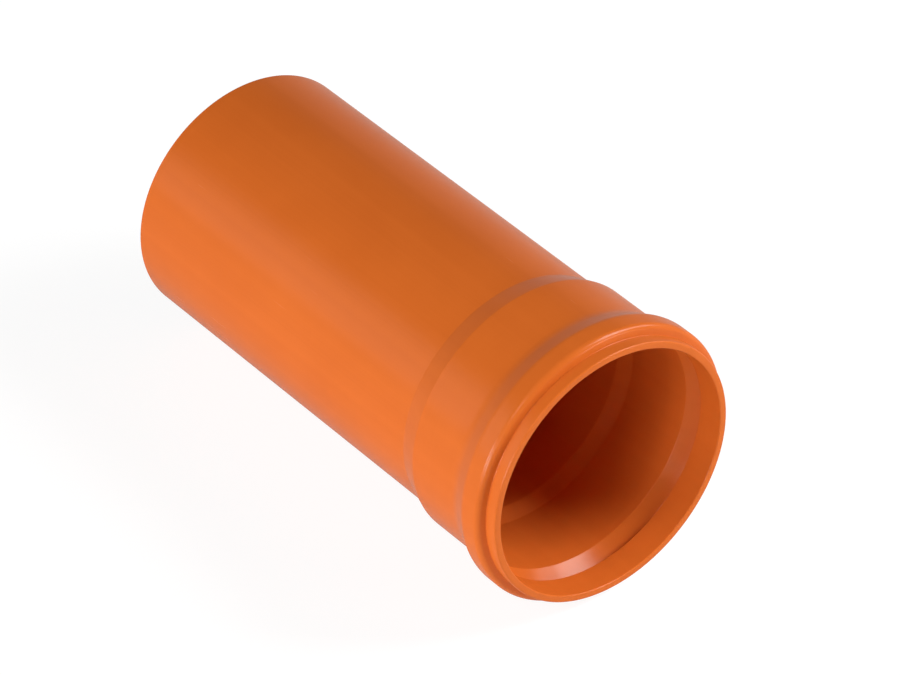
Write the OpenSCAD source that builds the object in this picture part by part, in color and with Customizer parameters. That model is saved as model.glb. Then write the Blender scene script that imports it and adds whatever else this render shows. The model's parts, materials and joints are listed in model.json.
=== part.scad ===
// Sewer pipe with a push-fit socket, lying on a level floor on its ring bead and the edge of its
// spigot end, with the mouth towards +X. The origin is on the floor below the middle of the pipe.
// All sizes are in millimetres.

/* [Pipe] */
// Outside diameter of the pipe, which is also the spigot
pipe_d = 160; // [110:1:315]
// Wall thickness of the plain pipe
pipe_wall = 4.7; // [3:0.1:8]
// Length over all, from the spigot end to the socket mouth
pipe_length = 350; // [250:1:3000]
// Width of the broken edge around the spigot end
spigot_edge = 0.8; // [0.2:0.1:2]

/* [Socket] */
// Gap on diameter between a spigot and the socket bore
socket_clearance = 0.6; // [0.3:0.1:1.5]
// Wall thickness of the socket
socket_wall = 4.2; // [3:0.1:8]
// Depth from the mouth to the stop, where the bore begins to narrow
socket_depth = 79; // [60:0.5:110]
// Axial length of the narrowing inside, from the socket bore to the pipe bore
taper_length = 8.5; // [6:0.5:20]
// Depth from the mouth to the outside edge where the socket begins to narrow
shoulder_depth = 76.5; // [55:0.5:108]
// Axial length of the outside shoulder
shoulder_length = 14.5; // [10:0.5:24]

/* [Mouth lip] */
// Extra bore on diameter at the mouth, which eases a spigot in
lip_relief = 0.6; // [0:0.1:2]
// Wall thickness of the lip
lip_wall = 4.7; // [3:0.1:8]
// Length of the lip outside, from the mouth to its back edge
lip_length = 7.5; // [5:0.5:12]
// Distance from the lip's back edge to the foot of the ring bead
neck_length = 1.2; // [1:0.1:3]
// Depth of the lip's bore, up to the edge that holds the seal ring in
lip_bore_length = 18.4; // [16:0.1:19]

/* [Ring bead] */
// Depth of the ring groove under the socket bore
groove_depth = 7; // [4:0.1:10]
// Width of the groove's floor
groove_width = 8; // [6:0.5:16]
// Lean of the groove's front face over its floor, in degrees
groove_lean = 30; // [10:1:32]
// Slope of the groove's back face from the pipe's axis, in degrees
groove_slope = 40; // [30:1:60]
// Wall thickness of the bead around the groove
bead_wall = 3.5; // [3:0.1:8]
// Lean of the bead's front face from square across the pipe, in degrees
bead_lean = 12; // [0:1:20]
// Slope of the bead's back from the pipe's axis, in degrees
bead_slope = 25; // [20:1:60]

/* [Roundings] */
// Radius of the hollow where the neck runs into the bead's front face
neck_r = 0.8; // [0.3:0.1:0.9]
// Radius of the bead's outer front edge
bead_front_r = 4; // [1:0.5:5]
// Radius of the bead's outer back edge
bead_back_r = 8; // [1:0.5:10]
// Radius of the hollow where the bead runs into the socket
crease_r = 20; // [1:0.5:24]
// Radius of the two corners of the groove's floor
groove_r = 2; // [1:0.5:4]
// Radius of both shoulder edges and of both edges of the taper inside
shoulder_r = 3; // [1:0.5:8]
// Radius of the lip's outer edge at the mouth
lip_front_r = 1.1; // [0.3:0.1:1.5]
// Radius of the lip's back edges, outside and in the bore
lip_back_r = 0.4; // [0.1:0.1:0.5]
// Radius of the edges of the bore, at the mouth and behind the groove
edge_r = 0.8; // [0.3:0.1:1.5]

/* [Hidden] */
$fn = 96;
// Straight steps that make up each rounded corner
arc_steps = 6;

pipe_r = pipe_d / 2;
bore_r = pipe_r - pipe_wall;
socket_bore_r = pipe_r + socket_clearance / 2;
socket_r = socket_bore_r + socket_wall;
lip_bore_r = socket_bore_r + lip_relief / 2;
lip_r = lip_bore_r + lip_wall;
groove_r_floor = socket_bore_r + groove_depth;
bead_r = groove_r_floor + bead_wall;

// Depths from the mouth along the bead. The neck between lip and bead is as wide as
// the socket, and the wall is as thick behind the groove's back corner as over its floor.
neck_front = lip_length + (lip_r - socket_r) / 2;
bead_foot_front = lip_length + neck_length;
bead_front = bead_foot_front + (bead_r - socket_r) * tan(bead_lean);
groove_front = lip_bore_length - (groove_r_floor - lip_bore_r) * tan(groove_lean);
groove_back = groove_front + groove_width;
groove_foot = groove_back + groove_depth / tan(groove_slope);
bead_back = groove_back + bead_wall * tan(bead_slope / 2);
bead_foot = bead_back + (bead_r - socket_r) / tan(bead_slope);

// At rest the floor touches two roundings: the bead's back edge and the edge of the spigot
// end. Each has its centre at a distance from the axis and a height above the spigot end.
bead_touch_r = bead_r - bead_back_r;
bead_touch_h = pipe_length - bead_back + bead_back_r * tan(bead_slope / 2);
spigot_touch_r = pipe_r - spigot_edge;
spigot_touch_h = spigot_edge;
touch_r_gap = bead_touch_r - spigot_touch_r;
touch_h_gap = bead_touch_h - spigot_touch_h;
// How far the mouth end is tipped up, in degrees, by the line that touches both roundings
rest_tilt = atan(touch_r_gap / touch_h_gap)
    + asin((bead_back_r - spigot_edge) / norm([touch_r_gap, touch_h_gap]));
// Height of the axis above the floor at the spigot end
rest_lift = spigot_touch_r * cos(rest_tilt) - spigot_touch_h * sin(rest_tilt) + spigot_edge;

// The wall's outline as [radius, depth from the mouth, corner radius], out along
// the outside from the mouth to the spigot end and back along the inside
outline = [
    [lip_r, 0, lip_front_r],
    [lip_r, lip_length, lip_back_r],
    [socket_r, neck_front, 0],
    [socket_r, bead_foot_front, neck_r],
    [bead_r, bead_front, bead_front_r],
    [bead_r, bead_back, bead_back_r],
    [socket_r, bead_foot, crease_r],
    [socket_r, shoulder_depth, shoulder_r],
    [pipe_r, shoulder_depth + shoulder_length, shoulder_r],
    [pipe_r, pipe_length, spigot_edge],
    [bore_r, pipe_length, spigot_edge],
    [bore_r, socket_depth + taper_length, shoulder_r],
    [socket_bore_r, socket_depth, shoulder_r],
    [socket_bore_r, groove_foot, edge_r],
    [groove_r_floor, groove_back, groove_r],
    [groove_r_floor, groove_front, groove_r],
    [lip_bore_r, lip_bore_length, lip_back_r],
    [lip_bore_r, 0, edge_r],
];

function unit(v) = v / norm(v);

// Points that round the corner at p, between its neighbours a and b, to radius r
function rounded(a, p, b, r) =
    let (
        to_a = unit(a - p),
        to_b = unit(b - p),
        half = acos(to_a * to_b) / 2,
        centre = p + unit(to_a + to_b) * r / sin(half),
        start = p + to_a * r / tan(half) - centre,
        turn = (90 - half) * 2 * sign(to_a[0] * to_b[1] - to_a[1] * to_b[0])
    )
    [for (i = [0:arc_steps])
        let (angle = -turn * i / arc_steps)
        centre + [
            start[0] * cos(angle) - start[1] * sin(angle),
            start[0] * sin(angle) + start[1] * cos(angle),
        ]];

// A corner of the outline, as [radius, height above the spigot end]
function corner(i) =
    let (c = outline[(i + len(outline)) % len(outline)])
    [c[0], pipe_length - c[1]];

module wall_section() {
    polygon([
        for (i = [0:len(outline) - 1])
            let (r = outline[i][2])
            each r > 0 ? rounded(corner(i - 1), corner(i), corner(i + 1), r) : [corner(i)]
    ]);
}

// Lays down what stands on its spigot end, with its mouth towards +X
module laid_down() {
    translate([-pipe_length / 2, 0, rest_lift])
        rotate([0, 90 - rest_tilt, 0])
            children();
}

module pipe() {
    color([0.85, 0.42, 0.19])
        laid_down()
            rotate_extrude()
                wall_section();
}

pipe();
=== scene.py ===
"""The looks of a short PVC sewer pipe: its turned wall, its plastic, and a plain studio around it."""

import json
import math

import bmesh
import bpy
from mathutils import Matrix, Vector


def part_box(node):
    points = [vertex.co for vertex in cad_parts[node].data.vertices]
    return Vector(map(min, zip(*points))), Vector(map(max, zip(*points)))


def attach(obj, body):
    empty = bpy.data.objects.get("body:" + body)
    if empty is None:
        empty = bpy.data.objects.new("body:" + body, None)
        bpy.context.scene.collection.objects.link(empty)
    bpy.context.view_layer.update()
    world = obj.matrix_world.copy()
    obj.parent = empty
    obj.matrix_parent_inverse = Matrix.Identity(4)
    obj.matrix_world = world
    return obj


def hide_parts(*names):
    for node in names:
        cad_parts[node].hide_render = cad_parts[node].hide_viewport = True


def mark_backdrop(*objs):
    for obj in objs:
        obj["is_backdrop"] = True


MM = 0.001

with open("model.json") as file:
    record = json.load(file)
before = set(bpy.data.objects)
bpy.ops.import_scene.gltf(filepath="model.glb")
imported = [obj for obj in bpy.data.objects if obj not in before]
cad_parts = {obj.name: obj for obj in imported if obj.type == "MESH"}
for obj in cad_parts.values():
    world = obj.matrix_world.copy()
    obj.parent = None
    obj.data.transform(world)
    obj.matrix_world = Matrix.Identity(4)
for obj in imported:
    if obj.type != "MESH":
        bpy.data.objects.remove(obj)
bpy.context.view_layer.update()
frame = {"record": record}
mounts = {mount["name"]: mount for mount in frame["record"]["mounts"]}


# ---------------------------------------------------------------- sizes, in millimetres
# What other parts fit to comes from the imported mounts.
SPIGOT_R = mounts["spigot"]["dims"]["r_mm"]
BORE_R = mounts["pipe_bore"]["dims"]["r_mm"]
SOCKET_BORE_R = mounts["socket_bore"]["dims"]["r_mm"]
AXIS = Vector(mounts["socket_bore"]["axis"]).normalized()
SPIGOT_FACE = Vector(mounts["spigot_end"]["pos_m"])
MOUTH_FACE = Vector(mounts["mouth_end"]["pos_m"])
LENGTH = (MOUTH_FACE - SPIGOT_FACE).dot(AXIS) / MM

# The rest of the wall is drawn from the sizes of the formed socket.
SOCKET_WALL = 4.2
SOCKET_DEPTH = 79.0
TAPER_LENGTH = 8.5
SHOULDER_DEPTH = 76.5
SHOULDER_LENGTH = 14.5
LIP_RELIEF = 0.3
LIP_WALL = 4.7
LIP_LENGTH = 7.5
LIP_BORE_LENGTH = 18.4
NECK_LENGTH = 1.2
GROOVE_DEPTH = 7.0
GROOVE_WIDTH = 8.0
GROOVE_LEAN = math.radians(30)
GROOVE_SLOPE = math.radians(40)
BEAD_WALL = 3.5
BEAD_LEAN = math.radians(12)
BEAD_SLOPE = math.radians(25)
BEAD_FRONT_ROUND = 4.0
BEAD_BACK_ROUND = 8.0
CREASE_ROUND = 20.0
GROOVE_ROUND = 2.0
SHOULDER_ROUND = 3.0
LIP_FRONT_ROUND = 1.1
LIP_BACK_ROUND = 0.4
NECK_FRONT_ROUND = 0.2
NECK_ROUND = 0.8
EDGE_ROUND = 0.8

# How finely the wall is turned
SIDES = 320
ROUND_STEP = math.radians(6)
RING_GAP = 7.0
# How far the formed wall sinks below its nominal radius: everywhere, and at most on top of that
CLEARANCE = 0.03
WAVINESS = 0.16
# The share of the waviness that is a plain oval, and where the oval is turned to
OVAL_SHARE = 0.65
OVAL_TURN = 0.7
# Two ripples run round the wall: how many waves each has, and the length in which it shifts by a radian
RIPPLES = 5
RIPPLE_SHIFT = 31.0
SLOW_RIPPLES = 3
SLOW_RIPPLE_SHIFT = 47.0


# ---------------------------------------------------------------- shape of the wall
def wall_corners():
    """The wall's outline, out along the outside and back inside: (radius, depth from the mouth, rounding)."""
    socket_r = SOCKET_BORE_R + SOCKET_WALL
    lip_bore_r = SOCKET_BORE_R + LIP_RELIEF
    lip_r = lip_bore_r + LIP_WALL
    floor_r = SOCKET_BORE_R + GROOVE_DEPTH
    bead_r = floor_r + BEAD_WALL
    neck_front = LIP_LENGTH + (lip_r - socket_r) / 2
    foot_front = LIP_LENGTH + NECK_LENGTH
    bead_front = foot_front + (bead_r - socket_r) * math.tan(BEAD_LEAN)
    groove_front = LIP_BORE_LENGTH - (floor_r - lip_bore_r) * math.tan(GROOVE_LEAN)
    groove_back = groove_front + GROOVE_WIDTH
    bead_back = groove_back + BEAD_WALL * math.tan(BEAD_SLOPE / 2)
    return [
        (lip_r, 0, LIP_FRONT_ROUND),
        (lip_r, LIP_LENGTH, LIP_BACK_ROUND),
        (socket_r, neck_front, NECK_FRONT_ROUND),
        (socket_r, foot_front, NECK_ROUND),
        (bead_r, bead_front, BEAD_FRONT_ROUND),
        (bead_r, bead_back, BEAD_BACK_ROUND),
        (socket_r, bead_back + (bead_r - socket_r) / math.tan(BEAD_SLOPE), CREASE_ROUND),
        (socket_r, SHOULDER_DEPTH, SHOULDER_ROUND),
        (SPIGOT_R, SHOULDER_DEPTH + SHOULDER_LENGTH, SHOULDER_ROUND),
        (SPIGOT_R, LENGTH, EDGE_ROUND),
        (BORE_R, LENGTH, EDGE_ROUND),
        (BORE_R, SOCKET_DEPTH + TAPER_LENGTH, SHOULDER_ROUND),
        (SOCKET_BORE_R, SOCKET_DEPTH, SHOULDER_ROUND),
        (SOCKET_BORE_R, groove_back + GROOVE_DEPTH / math.tan(GROOVE_SLOPE), EDGE_ROUND),
        (floor_r, groove_back, GROOVE_ROUND),
        (floor_r, groove_front, GROOVE_ROUND),
        (lip_bore_r, LIP_BORE_LENGTH, LIP_BACK_ROUND),
        (lip_bore_r, 0, EDGE_ROUND),
    ]


def rounded(before, corner, after, radius):
    """Points along the arc that rounds a corner."""
    to_before = (before - corner).normalized()
    to_after = (after - corner).normalized()
    half = to_before.angle(to_after) / 2
    centre = corner + (to_before + to_after).normalized() * (radius / math.sin(half))
    start = corner + to_before * (radius / math.tan(half)) - centre
    turn = math.pi - 2 * half
    if to_before.x * to_after.y - to_before.y * to_after.x > 0:
        turn = -turn
    steps = max(2, math.ceil(abs(turn) / ROUND_STEP))
    arc = []
    for step in range(steps + 1):
        arc.append(centre + Matrix.Rotation(turn * step / steps, 2) @ start)
    return arc


def wall_rings():
    """The closed outline as points of (radius, height above the spigot end), with long straights divided."""
    corners = [(Vector((r, LENGTH - depth)), radius) for r, depth, radius in wall_corners()]
    points = []
    for i, (corner, radius) in enumerate(corners):
        before = corners[i - 1][0]
        after = corners[(i + 1) % len(corners)][0]
        points += rounded(before, corner, after, radius)
    rings = []
    for i, point in enumerate(points):
        following = points[(i + 1) % len(points)]
        parts = max(1, math.ceil((following - point).length / RING_GAP))
        rings += [point.lerp(following, part / parts) for part in range(parts)]
    return rings


def sink(angle, height):
    """How far the wall lies below its nominal radius: cooled plastic is never quite round."""
    oval = 0.5 + 0.5 * math.sin(2 * angle + OVAL_TURN)
    ripple = 0.25 * math.sin(RIPPLES * angle + height / RIPPLE_SHIFT)
    slow_ripple = 0.25 * math.sin(SLOW_RIPPLES * angle - height / SLOW_RIPPLE_SHIFT)
    rippled = 0.5 + ripple + slow_ripple
    return CLEARANCE + WAVINESS * (OVAL_SHARE * oval + (1 - OVAL_SHARE) * rippled)


def turned_wall(name, placement):
    """The whole wall as one turned mesh, put in its place."""
    rings = wall_rings()
    mesh = bmesh.new()
    grid = []
    for radius, height in rings:
        ring = []
        for side in range(SIDES):
            angle = math.tau * side / SIDES
            r = radius - sink(angle, height)
            spot = Vector((r * math.cos(angle), r * math.sin(angle), height))
            ring.append(mesh.verts.new(placement @ (spot * MM)))
        grid.append(ring)
    for i, ring in enumerate(grid):
        following = grid[(i + 1) % len(grid)]
        for side in range(SIDES):
            next_side = (side + 1) % SIDES
            mesh.faces.new((ring[side], ring[next_side], following[next_side], following[side]))
    bmesh.ops.recalc_face_normals(mesh, faces=mesh.faces)
    for face in mesh.faces:
        face.smooth = True
    data = bpy.data.meshes.new(name)
    mesh.to_mesh(data)
    mesh.free()
    piece = bpy.data.objects.new(name, data)
    bpy.context.scene.collection.objects.link(piece)
    return piece


def pipe_placement():
    """Lays the turned wall's Z axis along the pipe's axis, with its origin at the spigot end's centre."""
    across = Vector((0, 1, 0))
    side = across.cross(AXIS)
    on_axis = Vector(mounts["socket_bore"]["pos_m"])
    end_centre = on_axis + AXIS * (SPIGOT_FACE - on_axis).dot(AXIS)
    turn = Matrix((side, across, AXIS)).transposed().to_4x4()
    return Matrix.Translation(end_centre) @ turn


# ---------------------------------------------------------------- shader sums
class Value:
    """A socket that takes part in Python sums: each operator adds one Math node."""

    def __init__(self, sheet, socket):
        self.sheet = sheet
        self.socket = socket

    def math(self, operation, *others):
        return self.sheet.node("ShaderNodeMath", {"operation": operation}, dict(enumerate((self, *others))))

    def reflected(self, operation, other):
        return self.sheet.node("ShaderNodeMath", {"operation": operation}, {0: other, 1: self})

    def __add__(self, other):
        return self.math("ADD", other)

    def __radd__(self, other):
        return self.reflected("ADD", other)

    def __sub__(self, other):
        return self.math("SUBTRACT", other)

    def __rsub__(self, other):
        return self.reflected("SUBTRACT", other)

    def __mul__(self, other):
        return self.math("MULTIPLY", other)

    def __rmul__(self, other):
        return self.reflected("MULTIPLY", other)

    def __truediv__(self, other):
        return self.math("DIVIDE", other)


class Sheet:
    """One material's node sheet."""

    def __init__(self, tree):
        self.tree = tree
        self.tree.nodes.clear()

    def node(self, kind, settings=None, inputs=None, output=0):
        """Adds a node, sets its settings first and then its sockets, and gives back one output."""
        made = self.tree.nodes.new(kind)
        for name, value in (settings or {}).items():
            setattr(made, name, value)
        for key, value in (inputs or {}).items():
            if isinstance(value, Value):
                self.tree.links.new(value.socket, made.inputs[key])
            else:
                made.inputs[key].default_value = value
        return Value(self, made.outputs[output]) if made.outputs else None

    def noise(self, vector, scale, detail=2.0, roughness=0.5):
        settings = {"noise_dimensions": "3D"}
        inputs = {"Vector": vector, "Scale": scale, "Detail": detail, "Roughness": roughness}
        return self.node("ShaderNodeTexNoise", settings, inputs)

    def combine(self, x, y, z):
        return self.node("ShaderNodeCombineXYZ", None, {0: x, 1: y, 2: z})

    def span(self, value, low, high, to_low=0.0, to_high=1.0):
        """Maps low..high onto to_low..to_high with soft ends."""
        settings = {"interpolation_type": "SMOOTHSTEP"}
        inputs = {0: value, 1: low, 2: high, 3: to_low, 4: to_high}
        return self.node("ShaderNodeMapRange", settings, inputs)

    def blend(self, factor, first, second):
        inputs = {"Factor": factor, 6: first, 7: second}
        return self.node("ShaderNodeMix", {"data_type": "RGBA"}, inputs, output=2)


def new_material(name):
    material = bpy.data.materials.new(name)
    material.use_nodes = True
    return material, Sheet(material.node_tree)


# ---------------------------------------------------------------- the plastic
ORANGE_BROWN = (0.665, 0.142, 0.0200, 1)
DEEP_ORANGE = (0.630, 0.131, 0.0178, 1)
PALE_SCUFF = (0.70, 0.20, 0.062, 1)

# How fine each pattern is: around the pipe, then along it per metre
DIE_LINES = (70, 1.2)
BROAD_LINES = (9, 0.8)
TURNING_MARKS = (0.8, 520)
SCRATCHES = (26, 9)
# How fine the patterns are that look alike in every direction, per metre
ORANGE_PEEL = 620.0
CLOUDS = 14.0

# Satin gloss: the plastic's own roughness, and how each pattern moves it
ROUGHNESS = 0.25
MARKS_ROUGHEN = 0.08
CLOUDS_ROUGHEN = 0.06
SCUFFS_ROUGHEN = 0.12
SCUFF_STRENGTH = 0.22
# The bump of the patterns, with its distance in metres
BUMP_STRENGTH = 0.10
BUMP_DISTANCE = 0.0006


def pvc(placement):
    """Extruded orange-brown PVC: faint die lines, slight orange peel, a soft gloss and a few pale scuffs."""
    material, sheet = new_material("orange_brown_pvc")
    back = placement.inverted()
    place = sheet.node("ShaderNodeMapping", {"vector_type": "POINT"}, {
        "Vector": sheet.node("ShaderNodeTexCoord", output=3),
        "Location": back.translation,
        "Rotation": back.to_euler(),
    })
    apart = sheet.node("ShaderNodeSeparateXYZ", None, {0: place})
    outputs = apart.socket.node.outputs
    x, y, along = (Value(sheet, outputs[i]) for i in range(3))
    radius = (x * x + y * y).math("SQRT")
    around_x = x / radius
    around_y = y / radius

    def streaks(fineness, detail, roughness):
        around, lengthwise = fineness
        spot = sheet.combine(around_x * around, around_y * around, along * lengthwise)
        return sheet.noise(spot, 1.0, detail, roughness)

    # Die lines run the whole length; turning marks run round the formed socket.
    lines = streaks(DIE_LINES, 3.0, 0.6)
    broad_lines = streaks(BROAD_LINES, 2.0, 0.5)
    rings = streaks(TURNING_MARKS, 3.0, 0.6)
    peel = sheet.noise(place, ORANGE_PEEL, 2.0, 0.5)
    cloud = sheet.noise(place, CLOUDS, 3.0, 0.55)

    socket_start = (LENGTH - SHOULDER_DEPTH - SHOULDER_LENGTH) * MM
    formed = sheet.span(along, socket_start - 0.01, socket_start + 0.02)
    marks = lines * (1 - formed * 0.6) + rings * (formed * 0.5)

    scratch_noise = streaks(SCRATCHES, 4.0, 0.7)
    scuffs = sheet.span(scratch_noise, 0.66, 0.74) * sheet.span(cloud, 0.52, 0.68)

    tone = sheet.span(cloud * 0.5 + broad_lines * 0.3 + marks * 0.2, 0.35, 0.65)
    colour = sheet.blend(tone, DEEP_ORANGE, ORANGE_BROWN)
    colour = sheet.blend(scuffs * SCUFF_STRENGTH, colour, PALE_SCUFF)

    roughness = ROUGHNESS + (marks - 0.5) * MARKS_ROUGHEN + (cloud - 0.5) * CLOUDS_ROUGHEN
    roughness = roughness + scuffs * SCUFFS_ROUGHEN

    height = marks * 0.55 + peel * 0.25 + broad_lines * 0.6 - scuffs * 0.2
    bump = sheet.node("ShaderNodeBump", None, {
        "Strength": BUMP_STRENGTH,
        "Distance": BUMP_DISTANCE,
        "Height": height,
    })

    surface = sheet.node("ShaderNodeBsdfPrincipled", None, {
        "Base Color": colour,
        "Roughness": roughness,
        "Normal": bump,
        "IOR": 1.5,
        "Specular IOR Level": 0.16,
    })
    sheet.node("ShaderNodeOutputMaterial", None, {"Surface": surface})
    return material


# ---------------------------------------------------------------- studio
FLOOR_R = 2.6
FLOOR_SIDES = 96
# Where the floor starts to fade into the white around it and where it is gone, as shares of its radius
FADE_START = 0.5
FADE_END = 0.98
FLOOR_COLOUR = (0.80, 0.80, 0.80, 1)
FLOOR_PAINT = 0.22
FLOOR_GLOW = (0.89, 0.89, 0.89, 1)
ROOM_LIGHT = 0.01
# What a gloss mirrors: white up to the top of the walls, which fades into a dim ceiling
MIRRORED_WHITE = 0.38
CEILING_SHINE = 0.04
WALL_TOP = math.radians(8)
CEILING_START = math.radians(35)

# Soft boxes as (name, azimuth and elevation in degrees, size in metres, watts), all at one distance
BOX_DISTANCE = 2.2
SOFT_BOXES = [
    ("key_box", 350, 10, 0.5, 20),
    ("wide_box", 15, 10, 0.5, 12),
    ("low_box", 25, 5, 0.5, 8),
    ("front_box", 30, 45, 0.5, 7),
    ("back_box", 140, 40, 0.8, 40),
    ("rear_box", 160, 25, 0.5, 8),
    ("side_box", 120, 10, 0.5, 8),
    ("sheen_box", 325, 20, 1.2, 6),
    ("mouth_box", 40, 15, 0.3, 2),
]


def rays(sheet):
    """1 for a ray that looks at the surroundings, and 1 for one that is mirrored or passes through glass."""
    path = sheet.node("ShaderNodeLightPath")
    ray = {socket.name: Value(sheet, socket) for socket in path.socket.node.outputs}
    return ray["Is Camera Ray"], ray["Is Glossy Ray"].math("MAXIMUM", ray["Is Transmission Ray"])


def floor():
    """A round pale floor that keeps the pipe's shadow and runs out into the white around it."""
    mesh = bmesh.new()
    bmesh.ops.create_circle(mesh, cap_ends=True, segments=FLOOR_SIDES, radius=FLOOR_R)
    data = bpy.data.meshes.new("floor")
    mesh.to_mesh(data)
    mesh.free()
    piece = bpy.data.objects.new("floor", data)
    bpy.context.scene.collection.objects.link(piece)

    material, sheet = new_material("pale_floor")
    paint = sheet.node("ShaderNodeBsdfDiffuse", None, {"Color": FLOOR_COLOUR})
    glow = sheet.node("ShaderNodeEmission", None, {"Color": FLOOR_GLOW, "Strength": 1.0})
    clear = sheet.node("ShaderNodeBsdfTransparent")
    place = sheet.node("ShaderNodeTexCoord", output=3)
    away = sheet.node("ShaderNodeVectorMath", {"operation": "LENGTH"}, {0: place}, output=1)
    fade = sheet.span(away, FLOOR_R * FADE_START, FLOOR_R * FADE_END)
    looked_at, mirrored = rays(sheet)
    seen = looked_at.math("MAXIMUM", mirrored)
    dark = sheet.node("ShaderNodeEmission", None, {"Strength": 0.0})
    toned = sheet.node("ShaderNodeMixShader", None, {0: seen * (1 - FLOOR_PAINT), 1: paint, 2: dark})
    whiteness = looked_at.math("MAXIMUM", mirrored * MIRRORED_WHITE)
    lift = sheet.node("ShaderNodeMixShader", None, {0: whiteness, 1: dark, 2: glow})
    lit = sheet.node("ShaderNodeAddShader", None, {0: toned, 1: lift})
    surface = sheet.node("ShaderNodeMixShader", None, {0: fade, 1: lit, 2: clear})
    sheet.node("ShaderNodeOutputMaterial", None, {"Surface": surface})
    data.materials.append(material)
    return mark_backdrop(piece)


def surroundings():
    """White all round to look at, a dim ceiling in reflections, and a faint even light from the room."""
    world = bpy.data.worlds.new("studio")
    world.use_nodes = True
    bpy.context.scene.world = world
    sheet = Sheet(world.node_tree)
    toward = sheet.node("ShaderNodeTexCoord", output=0)
    parts = sheet.node("ShaderNodeSeparateXYZ", None, {0: toward})
    up = Value(sheet, parts.socket.node.outputs[2])
    backdrop = sheet.span(up, math.sin(WALL_TOP), math.sin(CEILING_START), MIRRORED_WHITE, CEILING_SHINE)
    looked_at, mirrored = rays(sheet)
    seen = looked_at.math("MAXIMUM", mirrored)
    strength = looked_at.math("MAXIMUM", mirrored * backdrop) + (1 - seen) * ROOM_LIGHT
    glow = sheet.node("ShaderNodeBackground", None, {"Color": (1, 1, 1, 1), "Strength": strength})
    sheet.node("ShaderNodeOutputWorld", None, {"Surface": glow})


def direction(azimuth, elevation):
    """Towards a lamp or the camera: azimuth 0 is on the -Y side and 90 on the +X side, both in radians."""
    level = math.cos(elevation)
    return Vector((math.sin(azimuth) * level, -math.cos(azimuth) * level, math.sin(elevation)))


def soft_boxes(middle):
    """Square soft boxes in a ring around the pipe, each turned to its middle."""
    for name, azimuth, elevation, size, watts in SOFT_BOXES:
        lamp = bpy.data.lights.new(name, "AREA")
        lamp.shape = "SQUARE"
        lamp.size = size
        lamp.energy = watts
        box = bpy.data.objects.new(name, lamp)
        toward = direction(math.radians(azimuth), math.radians(elevation))
        box.location = middle + toward * BOX_DISTANCE
        box.rotation_euler = toward.to_track_quat("Z", "Y").to_euler()
        bpy.context.scene.collection.objects.link(box)


# ---------------------------------------------------------------- camera
CAMERA_AZIMUTH = math.radians(52.02)
CAMERA_ELEVATION = math.radians(39.15)
CAMERA_DISTANCE = 3.4735
CAMERA_LENS = 236.5
SENSOR_WIDTH = 36
# What the camera sees lies between these distances, in metres
NEAREST_SEEN = 0.05
FARTHEST_SEEN = 50
# Where the camera aims, from the middle of the pipe's box
AIM_OFFSET = Vector((0.0140, 0.0085, -0.0072))


def camera(middle):
    """A long lens that looks down on the mouth from the front right."""
    data = bpy.data.cameras.new("camera")
    data.lens = CAMERA_LENS
    data.sensor_width = SENSOR_WIDTH
    data.clip_start = NEAREST_SEEN
    data.clip_end = FARTHEST_SEEN
    eye = bpy.data.objects.new("camera", data)
    back = direction(CAMERA_AZIMUTH, CAMERA_ELEVATION)
    eye.location = middle + AIM_OFFSET + back * CAMERA_DISTANCE
    eye.rotation_euler = back.to_track_quat("Z", "Y").to_euler()
    bpy.context.scene.collection.objects.link(eye)
    bpy.context.scene.camera = eye


# ---------------------------------------------------------------- the scene
low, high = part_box("pipe")
middle = (low + high) / 2

camera(middle)
surroundings()
soft_boxes(middle)
floor()

placement = pipe_placement()
wall = turned_wall("turned_pipe_wall", placement)
wall.data.materials.append(pvc(placement))
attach(wall, "root")
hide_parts("pipe")

bpy.context.scene.view_settings.view_transform = "Standard"
